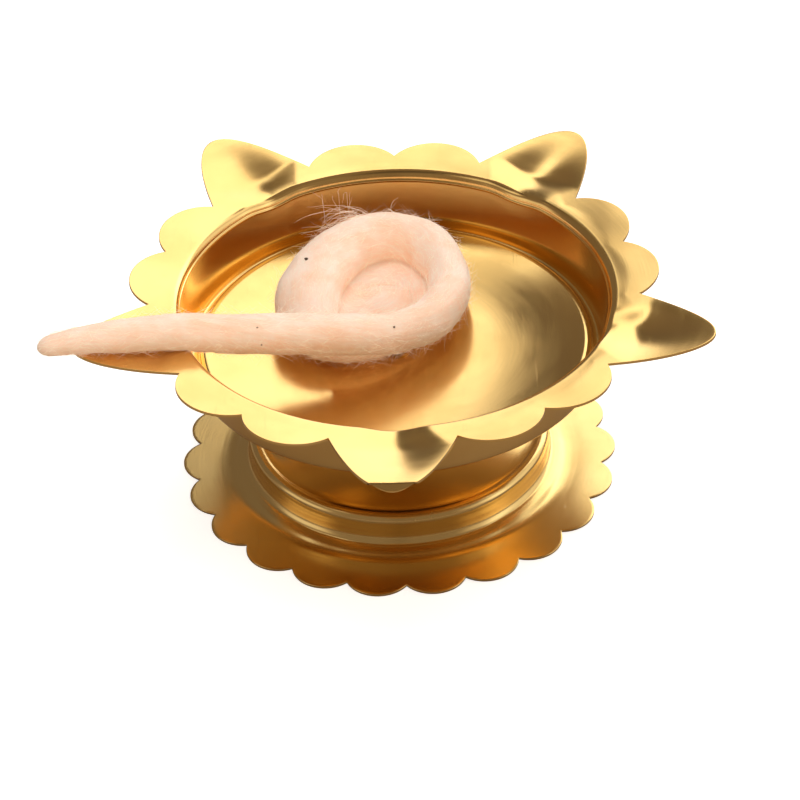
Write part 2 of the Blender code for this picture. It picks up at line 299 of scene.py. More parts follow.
def between(tree, value, low, high, to_low=0.0, to_high=1.0):
    """The value's place between low and high, eased, as a number between to_low and to_high."""
    inputs = {"Value": value, "From Min": low, "From Max": high, "To Min": to_low, "To Max": to_high}
    return add_node(tree, "ShaderNodeMapRange", inputs, interpolation_type="SMOOTHSTEP").outputs["Result"]


def blend_colours(tree, share, first, second):
    made = add_node(tree, "ShaderNodeMix", {0: share, 6: first, 7: second}, data_type="RGBA")
    return made.outputs[2]


def cloud(tree, place, scale, detail=3.0, roughness=0.55):
    inputs = {"Vector": place, "Scale": scale, "Detail": detail, "Roughness": roughness}
    return add_node(tree, "ShaderNodeTexNoise", inputs).outputs["Fac"]


def stretched(tree, place, along, turn=(0.0, 0.0, 0.0)):
    inputs = {"Vector": place, "Scale": along, "Rotation": turn}
    return add_node(tree, "ShaderNodeMapping", inputs).outputs["Vector"]


def new_group(name, inputs, outputs):
    """An empty node group. Inputs are (name, kind, value) and outputs are (name, kind)."""
    tree = bpy.data.node_groups.new(name, "ShaderNodeTree")
    for label, kind, value in inputs:
        socket = tree.interface.new_socket(label, in_out="INPUT", socket_type="NodeSocket" + kind)
        socket.default_value = value
    for label, kind in outputs:
        tree.interface.new_socket(label, in_out="OUTPUT", socket_type="NodeSocket" + kind)
    return tree, tree.nodes.new("NodeGroupInput").outputs, tree.nodes.new("NodeGroupOutput").inputs


def use_group(tree, group, inputs):
    return add_node(tree, "ShaderNodeGroup", inputs, node_tree=group).outputs


def brushing_group():
    """Fine rings left by polishing on a lathe, broken up along their length."""
    inputs = [("Place", "Vector", (0, 0, 0)), ("Rings", "Float", 4000.0), ("Breaks", "Float", 3.0)]
    tree, given, made = new_group("lathe_brushing", inputs, [("Height", "Float"), ("Streaks", "Float")])
    parts = add_node(tree, "ShaderNodeSeparateXYZ", {"Vector": given["Place"]}).outputs
    squares = calc(tree, "ADD", calc(tree, "MULTIPLY", parts["X"], parts["X"]),
                   calc(tree, "MULTIPLY", parts["Y"], parts["Y"]))
    radius = calc(tree, "SQRT", squares)
    turn = calc(tree, "ARCTAN2", parts["Y"], parts["X"])
    rings = calc(tree, "MULTIPLY", calc(tree, "ADD", radius, calc(tree, "MULTIPLY", parts["Z"], 0.7)),
                 given["Rings"])
    # The turn is bent into a loop, so that no seam shows where it starts again
    east = calc(tree, "MULTIPLY", calc(tree, "COSINE", turn), given["Breaks"])
    north = calc(tree, "MULTIPLY", calc(tree, "SINE", turn), given["Breaks"])
    place = add_node(tree, "ShaderNodeCombineXYZ", {"X": rings, "Y": east, "Z": north}).outputs[0]
    fine = cloud(tree, place, 1.0, 2.0, 0.6)
    broad = cloud(tree, stretched(tree, place, (0.12, 0.6, 0.6)), 1.0, 2.0)
    height = calc(tree, "ADD", calc(tree, "MULTIPLY", fine, 0.6), calc(tree, "MULTIPLY", broad, 0.4))
    tree.links.new(height, made["Height"])
    tree.links.new(between(tree, broad, 0.35, 0.65), made["Streaks"])
    return tree


def scratches_group():
    """Thin random scratches in three directions, as heights and as a mask."""
    inputs = [("Place", "Vector", (0, 0, 0)), ("Spacing", "Float", 500.0), ("Amount", "Float", 0.5)]
    tree, given, made = new_group("fine_scratches", inputs, [("Height", "Float"), ("Mask", "Float")])
    total = None
    for turn in (0.4, 1.6, 2.7):
        place = stretched(tree, given["Place"], (1.0, 0.04, 0.4), (0.2, 0.3 * turn, turn))
        lines = cloud(tree, place, given["Spacing"], 1.0)
        patches = between(tree, cloud(tree, given["Place"], 120.0 + 40 * turn, 2.0), 0.48, 0.62)
        line = calc(tree, "MULTIPLY", between(tree, lines, 0.66, 0.74), patches)
        total = line if total is None else calc(tree, "MAXIMUM", total, line)
    mask = calc(tree, "MULTIPLY", total, given["Amount"])
    tree.links.new(mask, made["Mask"])
    tree.links.new(calc(tree, "MULTIPLY", mask, -1.0), made["Height"])
    return tree


def patina_group():
    """Brass colour that drifts between freshly rubbed and dull, with small darker freckles."""
    white = (1, 1, 1, 1)
    inputs = [("Place", "Vector", (0, 0, 0)), ("Rubbed", "Color", white), ("Dull", "Color", white),
              ("Freckles", "Float", 0.3)]
    outputs = [("Colour", "Color"), ("Dullness", "Float"), ("Grain", "Float")]
    tree, given, made = new_group("brass_patina", inputs, outputs)
    broad = between(tree, cloud(tree, given["Place"], 90.0, 4.0), 0.36, 0.68)
    grain = cloud(tree, given["Place"], 5200.0, 2.0, 0.7)
    spots = between(tree, cloud(tree, given["Place"], 1500.0, 3.0, 0.65), 0.62, 0.75)
    freckles = calc(tree, "MULTIPLY", spots, given["Freckles"])
    share = calc(tree, "MINIMUM", calc(tree, "ADD", calc(tree, "MULTIPLY", broad, 0.7), freckles), 1.0)
    tree.links.new(blend_colours(tree, share, given["Rubbed"], given["Dull"]), made["Colour"])
    tree.links.new(share, made["Dullness"])
    tree.links.new(grain, made["Grain"])
    return tree


# Materials

def new_material(name):
    material = bpy.data.materials.new(name)
    material.use_nodes = True
    tree = material.node_tree
    place = add_node(tree, "ShaderNodeTexCoord").outputs["Object"]
    return material, tree, tree.nodes["Principled BSDF"].inputs, place


def brass(name, rubbed, dull, smooth, rings, depth, groups):
    """Sheet brass. Smooth is its least roughness, rings the brushing's fineness, depth the relief."""
    material, tree, shader, place = new_material(name)
    brushing = use_group(tree, groups["brushing"], {"Place": place, "Rings": rings, "Breaks": 3.0})
    scratches = use_group(tree, groups["scratches"], {"Place": place, "Spacing": 2600.0, "Amount": 0.25})
    colours = {"Place": place, "Rubbed": rubbed, "Dull": dull, "Freckles": 0.25}
    patina = use_group(tree, groups["patina"], colours)
    shader["Metallic"].default_value = 1.0
    tree.links.new(patina["Colour"], shader["Base Color"])
    rough = calc(tree, "MULTIPLY_ADD", patina["Dullness"], 0.06, smooth)
    rough = calc(tree, "MULTIPLY_ADD", brushing["Streaks"], 0.03, rough)
    rough = calc(tree, "MULTIPLY_ADD", scratches["Mask"], 0.15, rough)
    tree.links.new(rough, shader["Roughness"])
    height = calc(tree, "MULTIPLY_ADD", scratches["Height"], 0.5, brushing["Height"])
    height = calc(tree, "MULTIPLY_ADD", patina["Grain"], 0.5, height)
    bump = add_node(tree, "ShaderNodeBump", {"Strength": 1.0, "Distance": depth, "Height": height})
    tree.links.new(bump.outputs["Normal"], shader["Normal"])
    return material


def cotton(name, pale, warm, fibre_depth, soft, painted_glow):
    """Rolled cotton: fibres run along it, and its colour drifts. Its last argument sets a painted warm
    glow, an emission that stands in for light soaking through the cotton.
    """
    material, tree, shader, place = new_material(name)
    way = add_node(tree, "ShaderNodeAttribute", None, attribute_name="wick_way").outputs["Vector"]
    strands = cloud(tree, stretched(tree, way, (1.0, 1.0, 0.10)), 2600.0, 3.0, 0.65)
    wisps = cloud(tree, stretched(tree, way, (1.0, 1.0, 0.25), (0.5, 0.2, 0.0)), 900.0, 3.0, 0.6)
    fuzz = cloud(tree, place, 3600.0, 3.0, 0.7)
    drift = between(tree, cloud(tree, place, 260.0, 3.0), 0.35, 0.7)
    share = calc(tree, "MULTIPLY_ADD", between(tree, strands, 0.35, 0.7), 0.35,
                 calc(tree, "MULTIPLY", drift, 0.65))
    tree.links.new(blend_colours(tree, share, pale, warm), shader["Base Color"])
    shader["Roughness"].default_value = 0.95
    shader["Sheen Weight"].default_value = 0.15
    shader["Sheen Roughness"].default_value = 0.5
    shader["Sheen Tint"].default_value = (1.0, 0.93, 0.88, 1.0)
    shader["Subsurface Weight"].default_value = soft
    shader["Subsurface Radius"].default_value = (1.0, 0.6, 0.45)
    shader["Subsurface Scale"].default_value = 0.0008
    # Painted warm glow: emission that stands in for light soaking through the cotton
    shader["Emission Color"].default_value = (1.0, 0.62, 0.38, 1.0)
    shader["Emission Strength"].default_value = painted_glow
    height = calc(tree, "MULTIPLY_ADD", wisps, 0.8, strands)
    height = calc(tree, "MULTIPLY_ADD", fuzz, 0.5, height)
    bump = add_node(tree, "ShaderNodeBump", {"Strength": 0.8, "Distance": fibre_depth, "Height": height})
    tree.links.new(bump.outputs["Normal"], shader["Normal"])
    return material


def fleck_brown():
    material, tree, shader, place = new_material("seed_husk")
    share = cloud(tree, place, 4000.0)
    colour = blend_colours(tree, share, HUSK_DARK, HUSK_PALE)
    tree.links.new(colour, shader["Base Color"])
    tree.links.new(between(tree, share, 0.3, 0.7, 0.5, 0.8), shader["Roughness"])
    return material


# Shapes

def add_piece(name, mesh, material, body, slot, *stands_for):
    """Put a mesh in the scene on the lamp's axis, on its body, with its finish."""
    piece = bpy.data.objects.new(name, mesh)
    bpy.context.scene.collection.objects.link(piece)
    mesh.materials.append(material)
    piece.location = AXIS
    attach(piece, body)
    if stands_for:
        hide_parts(*stands_for)
    return piece


def arc(centre, radius, start, end, step=ARC_STEP):
    """Points along an arc in the (radius, height) plane, from one angle in degrees to another."""
    steps = max(2, round(abs(radians(end - start)) / step))
    turns = [radians(start + (end - start) * i / steps) for i in range(steps + 1)]
    return [(centre[0] + radius * cos(t), centre[1] + radius * sin(t)) for t in turns]


def hollow_line(start, end, sag, steps):
    """Points of a shallow hollow between two points, sagging to the left of the way from start to end."""
    along = (end[0] - start[0], end[1] - start[1])
    length = hypot(*along)
    normal = (-along[1] / length, along[0] / length)
    points = []
    for i in range(steps + 1):
        t = i / steps
        bow = sag * 4 * t * (1 - t)
        points.append(tuple(start[k] + along[k] * t + normal[k] * bow for k in (0, 1)))
    return points


def petal_edge(turn, width, notch, length):
    """Radius of a round petal's edge, this far in angle from the petal's middle."""
    half_chord = notch * sin(width / 2)
    height = notch + length - notch * cos(width / 2)
    curve = (half_chord**2 + height**2) / (2 * height)
    centre = notch + length - curve
    return centre * cos(turn) + sqrt(curve**2 - (centre * sin(turn)) ** 2)


def spout_edge(turn):
    """Radius of a spout's edge, this far in angle from the spout's middle."""
    fall = SPOUT_HALF_WIDTH**2 / (SPOUT_TIP_RADIUS - SPOUT_ROOT)
    square, linear = sin(turn) ** 2, fall * cos(turn)
    constant = SPOUT_HALF_WIDTH**2 + fall * SPOUT_ROOT
    return 2 * constant / (linear + sqrt(linear**2 + 4 * square * constant))


def bowl_edge(turn):
    """Radius of the flange's edge, at an angle from the nearest spout's middle."""
    turn = abs(turn)
    if turn <= SPOUT_HALF_ANGLE:
        return spout_edge(turn)
    petal = (turn - SPOUT_HALF_ANGLE) % PETAL_ANGLE
    return petal_edge(petal - PETAL_ANGLE / 2, PETAL_ANGLE, NOTCH_RADIUS, PETAL_LENGTH)


def channel_dip(radius, turn):
    """How far the wick channel lies below the flange, at a radius and an angle from a spout's middle."""
    if abs(turn) >= SPOUT_HALF_ANGLE:
        return 0.0
    along, across = radius * cos(turn), radius * abs(sin(turn))
    outward = min(max((along - RIM_RADIUS) / (SPOUT_TIP_RADIUS - RIM_RADIUS), 0.0), 1.0)
    reach = CHANNEL_RIM_REACH + CHANNEL_SPREAD * max(along - RIM_RADIUS, 0.0)
    beyond = min(max((along - SPOUT_ROOT) / (SPOUT_TIP_RADIUS - SPOUT_ROOT), 0.0), 1.0)
    reach = min(reach, SPOUT_HALF_WIDTH * (0.25 + 0.8 * sqrt(1 - beyond)))
    swell = CHANNEL_RIM_DEPTH + (CHANNEL_DEPTH - CHANNEL_RIM_DEPTH) * ease(outward / CHANNEL_SWELL)
    depth = swell * (1 - outward) ** CHANNEL_FADE
    return depth * (1 + cos(pi * min(across / reach, 1.0))) / 2


def flange_height(radius, turn):
    """Top of the bowl's flange above the rim."""
    height = FLANGE_SLOPE * (radius - RIM_RADIUS) - channel_dip(radius, turn)
    if abs(turn) < SPOUT_HALF_ANGLE:
        beyond = max((radius * cos(turn) - SPOUT_ROOT) / (SPOUT_TIP_RADIUS - SPOUT_ROOT), 0.0)
        height += SPOUT_LIFT * beyond**2
    return height


def floor_height(radius):
    """Top of the bowl's floor, which is slightly dished."""
    return FLOOR_HEIGHT + FLOOR_DISH * (radius / FLOOR_EDGE) ** 3


def bent_tip(radius, turn):
    """The front spout's knocked-down tip: how far a point there moves in, and how far it falls."""
    bent = radius * cos(turn) - SPOUT_TIP_RADIUS + BENT_TIP
    if bent <= 0:
        return 0.0, 0.0
    return bent * (1 - BENT_TIP_REACH), BENT_TIP_FALL * (bent / BENT_TIP) ** 1.3


def ease(share):
    """A smooth step from 0 to 1."""
    share = min(max(share, 0.0), 1.0)
    return share * share * (3 - 2 * share)


def unevenness(x, y, z, wave):
    """Gentle waves left in the sheet by pressing and handling."""
    size, depth = wave
    return depth * noise.noise(Vector((x, y, z)) / size)


def bowl_turns():
    """Angles round the bowl, each with its angle from the nearest spout's middle."""
    turns = []
    for spout in range(SPOUTS):
        middle = -pi / 2 + spout * SECTOR
        for i in range(SPOUT_STEPS):
            turn = SPOUT_HALF_ANGLE * (2 * i / SPOUT_STEPS - 1)
            turns.append((middle + turn, turn))
        for i in range(PETALS_BETWEEN * PETAL_STEPS):
            turn = SPOUT_HALF_ANGLE + PETAL_ANGLE * i / PETAL_STEPS
            nearest = turn if turn <= SECTOR / 2 else turn - SECTOR
            turns.append((middle + turn, nearest))
    return turns


def sheet_piece(name, rings, material, slot, node):
    """A pressed sheet: its upper face through rings of points, with thickness below and broken edges."""
    count = len(rings[0])
    points = [point for ring in rings for point in ring]
    faces = []
    for row in range(len(rings) - 1):
        inner, outer = row * count, (row + 1) * count
        for i in range(count):
            j = (i + 1) % count
            faces.append((inner + i, outer + i, outer + j, inner + j))
    mesh = bpy.data.meshes.new(name)
    mesh.from_pydata(points, [], faces)
    piece = add_piece(name, mesh, material, "lamp", slot, node)
    thickness = piece.modifiers.new("sheet_thickness", "SOLIDIFY")
    thickness.thickness = SHEET
    thickness.offset = -1
    thickness.use_even_offset = True
    edges = piece.modifiers.new("broken_edges", "BEVEL")
    edges.width = EDGE_BREAK
    edges.segments = 2
    edges.limit_method = "ANGLE"
    edges.angle_limit = radians(60)
    mesh.shade_smooth()
    return piece


def floor_rings(turns):
    """The dished floor, from the rivet hole to its edge."""
    rings = []
    for i in range(FLOOR_STEPS):
        radius = RIVET_HOLE_RADIUS + (FLOOR_EDGE - RIVET_HOLE_RADIUS) * i / FLOOR_STEPS
        fade = ease((FLOOR_EDGE - radius) / 0.003)
        ring = []
        for angle, _ in turns:
            x, y = radius * cos(angle), radius * sin(angle)
            ring.append((x, y, floor_height(radius) + unevenness(x, y, 0, FLOOR_WAVE) * fade))
        rings.append(ring)
    return rings


def wall_rings(turns):
    """The groove round the floor, the wall with its fine bead, and the rolled rim."""
    groove = smooth_route(FLOOR_GROOVE, GROOVE_STEPS)
    rings = []
    for radius, height in groove:
        rings.append([(radius * cos(a), radius * sin(a), RIM_HEIGHT + height) for a, _ in turns])
    bottom, top = groove[-1][1], -RIM_ROLL
    for i in range(1, WALL_STEPS):
        share = 1 - (1 - i / WALL_STEPS) ** 1.6
        height = bottom + (top - bottom) * share
        bead = RIM_BEAD_SIZE * exp(-(((height + RIM_BEAD_DROP) / RIM_BEAD_SIZE) ** 2))
        radius = WALL_BOTTOM_RADIUS + WALL_TAPER * share - bead
        near_rim = ease((height + RIM_ROLL + CHANNEL_RUNOUT) / CHANNEL_RUNOUT)
        ring = []
        for angle, turn in turns:
            dip = channel_dip(RIM_RADIUS, turn) * near_rim
            ring.append((radius * cos(angle), radius * sin(angle), RIM_HEIGHT + height - dip))
        rings.append(ring)
    for radius, height in arc((RIM_RADIUS, -RIM_ROLL), RIM_ROLL, 180, 90)[:-1]:
        ring = []
        for angle, turn in turns:
            dip = channel_dip(RIM_RADIUS, turn)
            ring.append((radius * cos(angle), radius * sin(angle), RIM_HEIGHT + height - dip))
        rings.append(ring)
    return rings


def flange_rings(turns):
    """The flange with its petals and spouts, and the front spout's bent tip."""
    rings = []
    for i in range(FLANGE_STEPS + 1):
        share = 1 - (1 - i / FLANGE_STEPS) ** 1.3
        ring = []
        for angle, turn in turns:
            radius = RIM_RADIUS + share * (bowl_edge(turn) - RIM_RADIUS)
            x, y = radius * cos(angle), radius * sin(angle)
            height = flange_height(radius, turn) + unevenness(x, y, 0.5, FLANGE_WAVE) * ease(share * 3)
            if abs(turn) < SPOUT_HALF_ANGLE and angle < -pi / 2 + SPOUT_HALF_ANGLE:
                inward, fall = bent_tip(radius, turn)
                y += inward
                height -= fall
            ring.append((x, y, RIM_HEIGHT + height))
        rings.append(ring)
    return rings


def bowl_rings():
    turns = bowl_turns()
    return floor_rings(turns) + wall_rings(turns) + flange_rings(turns)


def foot_profile():
    """The foot's upper face as (radius, height) from the rivet hole out to the flat of its flange."""
    neck = (NECK_RADIUS - NECK_TURN, PLATE_HEIGHT - NECK_TURN)
    points = [(RIVET_HOLE_RADIUS, PLATE_HEIGHT), (NECK_RADIUS / 2, PLATE_HEIGHT)]
    points += arc(neck, NECK_TURN, 90, 0)
    points += hollow_line(points[-1], FOOT_SHOULDER[0], -COVE_SAG, COVE_STEPS)[1:-1]
    points += smooth_route(FOOT_SHOULDER, SHOULDER_STEPS)
    return points


def foot_rings():
    """The foot's upper face: its turned part, then the scalloped flange."""
    petal = tau / FOOT_PETALS
    count = FOOT_PETALS * FOOT_PETAL_STEPS
    angles = [FOOT_TURN - pi / 2 + tau * i / count for i in range(count)]
    rings = []
    for radius, height in foot_profile():
        ring = []
        for a in angles:
            x, y = radius * cos(a), radius * sin(a)
            free = ease((radius - NECK_RADIUS) / 0.003) * ease((height - SHEET) / 0.001)
            push = 1 + unevenness(x, y, height, FOOT_WAVE) * free / radius
            ring.append((x * push, y * push, height))
        rings.append(ring)
    for i in range(1, FOOT_FLANGE_STEPS + 1):
        ring = []
        for k, angle in enumerate(angles):
            turn = petal * ((k % FOOT_PETAL_STEPS) / FOOT_PETAL_STEPS - 0.5)
            edge = petal_edge(turn, petal, FOOT_NOTCH_RADIUS, FOOT_PETAL_LENGTH)
            radius = FOOT_FLAT_RADIUS + (edge - FOOT_FLAT_RADIUS) * i / FOOT_FLANGE_STEPS
            ring.append((radius * cos(angle), radius * sin(angle), SHEET))
        rings.append(ring)
    return rings


def make_rivet(material):
    """A turned rivet with a domed head in the bowl and a spread tail under the foot's plate."""
    head_seat = FLOOR_HEIGHT + SEAT_GAP
    tail_seat = PLATE_HEIGHT - SHEET - SEAT_GAP
    low = tail_seat - RIVET_TAIL_HEIGHT
    profile = []
    for i in range(10):
        t = pi / 2 * i / 10
        profile.append((RIVET_HEAD_RADIUS * sin(t), head_seat + RIVET_HEAD_HEIGHT * cos(t)))
    profile += [(RIVET_HEAD_RADIUS, head_seat), (RIVET_RADIUS, head_seat), (RIVET_RADIUS, tail_seat)]
    profile += [(RIVET_TAIL_RADIUS, tail_seat)]
    for i in range(1, 9):
        t = pi / 2 * i / 9
        profile.append((RIVET_TAIL_RADIUS * cos(t) ** 0.6, tail_seat - RIVET_TAIL_HEIGHT * sin(t)))
    profile.append((0, low))
    mesh = bpy.data.meshes.new("centre_rivet_brass")
    points = [(radius, 0, height) for radius, height in profile]
    mesh.from_pydata(points, [(i, i + 1) for i in range(len(points) - 1)], [])
    piece = add_piece("rivet", mesh, material, "lamp", "rivet_brass", "centre_rivet")
    turning = piece.modifiers.new("turning", "SCREW")
    turning.steps = turning.render_steps = TURNED_STEPS
    turning.use_merge_vertices = True
    turning.merge_threshold = 0.00001
    turning.use_smooth_shade = True
    return piece


# Wick

def smooth_route(points, steps):
    """Points read from a smooth curve through the route's own points."""
    route = []
    for i in range(len(points) - 1):
        before, start = points[max(i - 1, 0)], points[i]
        end, after = points[i + 1], points[min(i + 2, len(points) - 1)]
        for step in range(steps):
            t = step / steps
            weights = (
                (-t + 2 * t**2 - t**3) / 2,
                (2 - 5 * t**2 + 3 * t**3) / 2,
                (t + 4 * t**2 - 3 * t**3) / 2,
                (-(t**2) + t**3) / 2,
            )
            four = (before, start, end, after)
            route.append(tuple(sum(w * p[k] for w, p in zip(weights, four)) for k in range(len(start))))
    route.append(points[-1])
    return route


def brass_under(x, y):
    """Height of the bowl's upper face under a point, or nothing where there is no metal."""
    radius = hypot(x, y)
    angle = (atan2(y, x) + pi / 2) % SECTOR
    turn = angle if angle <= SECTOR / 2 else angle - SECTOR
    if radius < RIVET_HEAD_RADIUS + SEAT_GAP:
        return FLOOR_HEIGHT + SEAT_GAP + RIVET_HEAD_HEIGHT
    if radius < FLOOR_EDGE:
        return floor_height(radius)
    if radius < WALL_TOP_RADIUS:
        return RIM_HEIGHT - RIM_ROLL - channel_dip(RIM_RADIUS, turn)
    if radius < RIM_RADIUS:
        rise = sqrt(max(RIM_ROLL**2 - (RIM_RADIUS - radius) ** 2, 0.0))
        return RIM_HEIGHT - RIM_ROLL + rise - channel_dip(RIM_RADIUS, turn)
    if radius < bowl_edge(turn):
        return RIM_HEIGHT + flange_height(radius, turn)
    return None


def wick_sections():
    """The wick's centre, its way, its sides and its half sizes, along its whole length."""
    route = smooth_route(WICK_ROUTE, WICK_STEPS)
    centres = [Vector((x, y, RIM_HEIGHT + z)) for x, y, z, _, _ in route]
    sections, along = [], 0.0
    for i, (x, y, z, half_width, half_height) in enumerate(route):
        way = (centres[min(i + 1, len(route) - 1)] - centres[max(i - 1, 0)]).normalized()
        side = way.cross(Vector((0, 0, 1))).normalized()
        if i:
            along += (centres[i] - centres[i - 1]).length
        sections.append((centres[i], way, side, side.cross(way), half_width, half_height, along))
    return sections


def wick_point(section, turn, length):
    """A point of the cotton's surface, with its own way round and along for the fibres."""
    centre, way, side, up, half_width, half_height, along = section
    end = min(along, length - along)
    taper = sqrt(max(1 - (1 - min(end / WICK_END, 1.0)) ** 2, 0.0)) if end < WICK_END else 1.0
    twist = turn + along * WICK_TWIST
    lumps = noise.fractal(centre / 0.0055 + Vector((cos(turn), sin(turn), 0)) * 0.5, 1.0, 2.0, 3)
    ridges = noise.noise(Vector((cos(twist) * 2.4, sin(twist) * 2.4, along / 0.012)))
    threads = noise.noise(Vector((cos(twist) * 9.0, sin(twist) * 9.0, along / 0.005)))
    swell = taper * (1 + 0.08 * lumps + 0.03 * ridges + 0.012 * threads)
    return centre + side * (cos(turn) * half_width * swell) + up * (sin(turn) * half_height * swell)


def rest_on_brass(point):
    """Lift a point that would sink into the metal."""
    low = brass_under(point.x, point.y)
    if low is not None and point.z < low + WICK_LIFT:
        point.z = low + WICK_LIFT
    return point


def fused(points, faces):
    """One skin round a body that folds onto itself, softened where its turns press together."""
    rough = bpy.data.meshes.new("rough_wick")
    rough.from_pydata(points, [], faces)
    body = bpy.data.objects.new("rough_wick", rough)
    bpy.context.scene.collection.objects.link(body)
    skin = body.modifiers.new("skin", "REMESH")
    skin.mode = "VOXEL"
    skin.voxel_size = WICK_SKIN
    soft = body.modifiers.new("soft", "SMOOTH")
    soft.factor = 0.5
    soft.iterations = WICK_SOFTENING
    mesh = bpy.data.meshes.new_from_object(body.evaluated_get(bpy.context.evaluated_depsgraph_get()))
    mesh.name = "cotton_wick"
    bpy.data.objects.remove(body, do_unlink=True)
    return mesh


def make_wick(material, sections):
    """The whole wick as one skin, which keeps each fibre's way for the finish."""
    length = sections[-1][6]
    points, ways = [], []
    for section in sections:
        for k in range(WICK_AROUND):
            turn = tau * k / WICK_AROUND
            points.append(rest_on_brass(wick_point(section, turn, length)))
            twist = turn + section[6] * WICK_TWIST
            ways.append((cos(twist) * FIBRE_SPREAD, sin(twist) * FIBRE_SPREAD, section[6]))
    faces = []
    for row in range(len(sections) - 1):
        first, second = row * WICK_AROUND, (row + 1) * WICK_AROUND
        for i in range(WICK_AROUND):
            j = (i + 1) % WICK_AROUND
            faces.append((first + i, first + j, second + j, second + i))
    last = len(points)
    points += [sections[0][0] - sections[0][1] * 0.0001, sections[-1][0] + sections[-1][1] * 0.0001]
    ways += [(0, 0, 0), (0, 0, length)]
    row = (len(sections) - 1) * WICK_AROUND
    for i in range(WICK_AROUND):
        j = (i + 1) % WICK_AROUND
        faces.append((last, j, i))
        faces.append((last + 1, row + i, row + j))
    mesh = fused(points, faces)
    near = KDTree(len(points))
    for i, point in enumerate(points):
        near.insert(point, i)
    near.balance()
    attribute = mesh.attributes.new("wick_way", "FLOAT_VECTOR", "POINT")
    found = [ways[near.find(vertex.co)[1]] for vertex in mesh.vertices]
    attribute.data.foreach_set("vector", [value for way in found for value in way])
    mesh.shade_smooth()
    return add_piece("wick", mesh, material, "wick", "cotton", "wick_coil", "wick_stem")


def add_fibre(points, faces, line, thickness):
    """A thin closed three-sided thread through the line's points."""
    start = len(points)
    count = len(line)
    for i, point in enumerate(line):
        way = (line[min(i + 1, count - 1)] - line[max(i - 1, 0)]).normalized()
        side = way.orthogonal().normalized()
        up = way.cross(side)
        radius = thickness * (1 - 0.6 * i / (count - 1))
        for k in range(3):
            turn = tau * k / 3
            points.append(point + side * (cos(turn) * radius) + up * (sin(turn) * radius))
    for i in range(count - 1):
        first, second = start + 3 * i, start + 3 * i + 3
        for k in range(3):
            j = (k + 1) % 3
            faces.append((first + k, first + j, second + j, second + k))
    faces.append((start + 2, start + 1, start))
    last = start + 3 * (count - 1)
    faces.append((last, last + 1, last + 2))


def fibre_piece(name, lines, thickness, material):
    """One piece of the cotton made of many fine fibres."""
    points, faces = [], []
    for line in lines:
        add_fibre(points, faces, line, thickness)
    mesh = bpy.data.meshes.new(name)
    mesh.from_pydata(points, [], faces)
    mesh.shade_smooth()
    return add_piece(name, mesh, material, "wick", "cotton")


def surface_fuzz(sections, count, seed):
    """Short loose fibres that lie on the cotton and lift off it at one end."""
    rng = Random(seed)
    length = sections[-1][6]
    lines = []
    for _ in range(count):
        section = sections[rng.randrange(4, len(sections) - 4)]
        turn = rng.uniform(0, tau)
        start = wick_point(section, turn, length)
        centre, way = section[0], section[1]
        out = (start - centre).normalized()
        around = way.cross(out)
        heading = way * rng.choice((-1, 1)) + around * rng.gauss(0, 0.55)
        heading = heading + out * rng.uniform(0.1, 0.95) ** 2
        step = rng.uniform(0.0006, 0.0022) / FUZZ_STEPS
        line = [start - out * 0.00005]
        for _ in range(FUZZ_STEPS):
            heading = heading.normalized() + out * rng.gauss(0.0, 0.10) + around * rng.gauss(0, 0.22)
            spot = line[-1] + heading.normalized() * step
            if (spot - start).length < FUZZ_RISE:
                spot = spot - out * 0.00001
            line.append(rest_on_brass(spot))
        lines.append(line)
    return lines


def loose_tuft(root, sweep, count, reach, spread, seed):
    """Long tangled fibres that pull out of the cotton at a root point along a sweep."""
    rng = Random(seed)
    lines = []
    for _ in range(count):
        spot = root + Vector((rng.gauss(0, spread), rng.gauss(0, spread), rng.gauss(0, spread / 3)))
        heading = sweep + Vector((rng.gauss(0, 0.25), rng.gauss(0, 0.3), rng.gauss(0, 0.2)))
        curl = Vector((rng.gauss(0, 0.10), rng.gauss(-0.08, 0.10), rng.gauss(-0.10, 0.07)))
        step = reach * rng.uniform(0.5, 1.1) / TUFT_STEPS
        line = [spot]
        for _ in range(TUFT_STEPS):
            heading = (heading.normalized() + curl + Vector((rng.gauss(0, 0.16),) * 3)).normalized()
            line.append(rest_on_brass(line[-1] + heading * step))
        lines.append(line)
    return lines


def make_flecks(sections, material):
    """A few flat, rough bits of seed husk caught in the cotton."""
    points, faces = [], []
    length = sections[-1][6]
    rng = Random(5)
    for share, turn, size in FLECKS:
        section = sections[round(share * (len(sections) - 1))]
        centre = wick_point(section, turn, length)
        start = len(points)
        for row in range(1, 4):
            for k in range(FLECK_SIDES):
                polar, a = pi * row / 4, tau * k / FLECK_SIDES
                push = size * rng.uniform(0.7, 1.3)
                out = Vector((sin(polar) * cos(a), sin(polar) * sin(a), cos(polar) * 0.6))
                points.append(centre + out * push)
        points += [centre + Vector((0, 0, size * 0.6)), centre - Vector((0, 0, size * 0.6))]
        top, bottom = start + 3 * FLECK_SIDES, start + 3 * FLECK_SIDES + 1
        for row in range(2):
            upper, lower = start + row * FLECK_SIDES, start + (row + 1) * FLECK_SIDES
            for k in range(FLECK_SIDES):
                j = (k + 1) % FLECK_SIDES
                faces.append((upper + k, lower + k, lower + j, upper + j))
        for k in range(FLECK_SIDES):
            j = (k + 1) % FLECK_SIDES
            faces.append((top, start + k, start + j))
            faces.append((bottom, lower + j, lower + k))
    mesh = bpy.data.meshes.new("seed_flecks")
    mesh.from_pydata(points, [], faces)
    mesh.shade_smooth()
    return add_piece("seed_flecks", mesh, material, "wick", "cotton")


# Studio

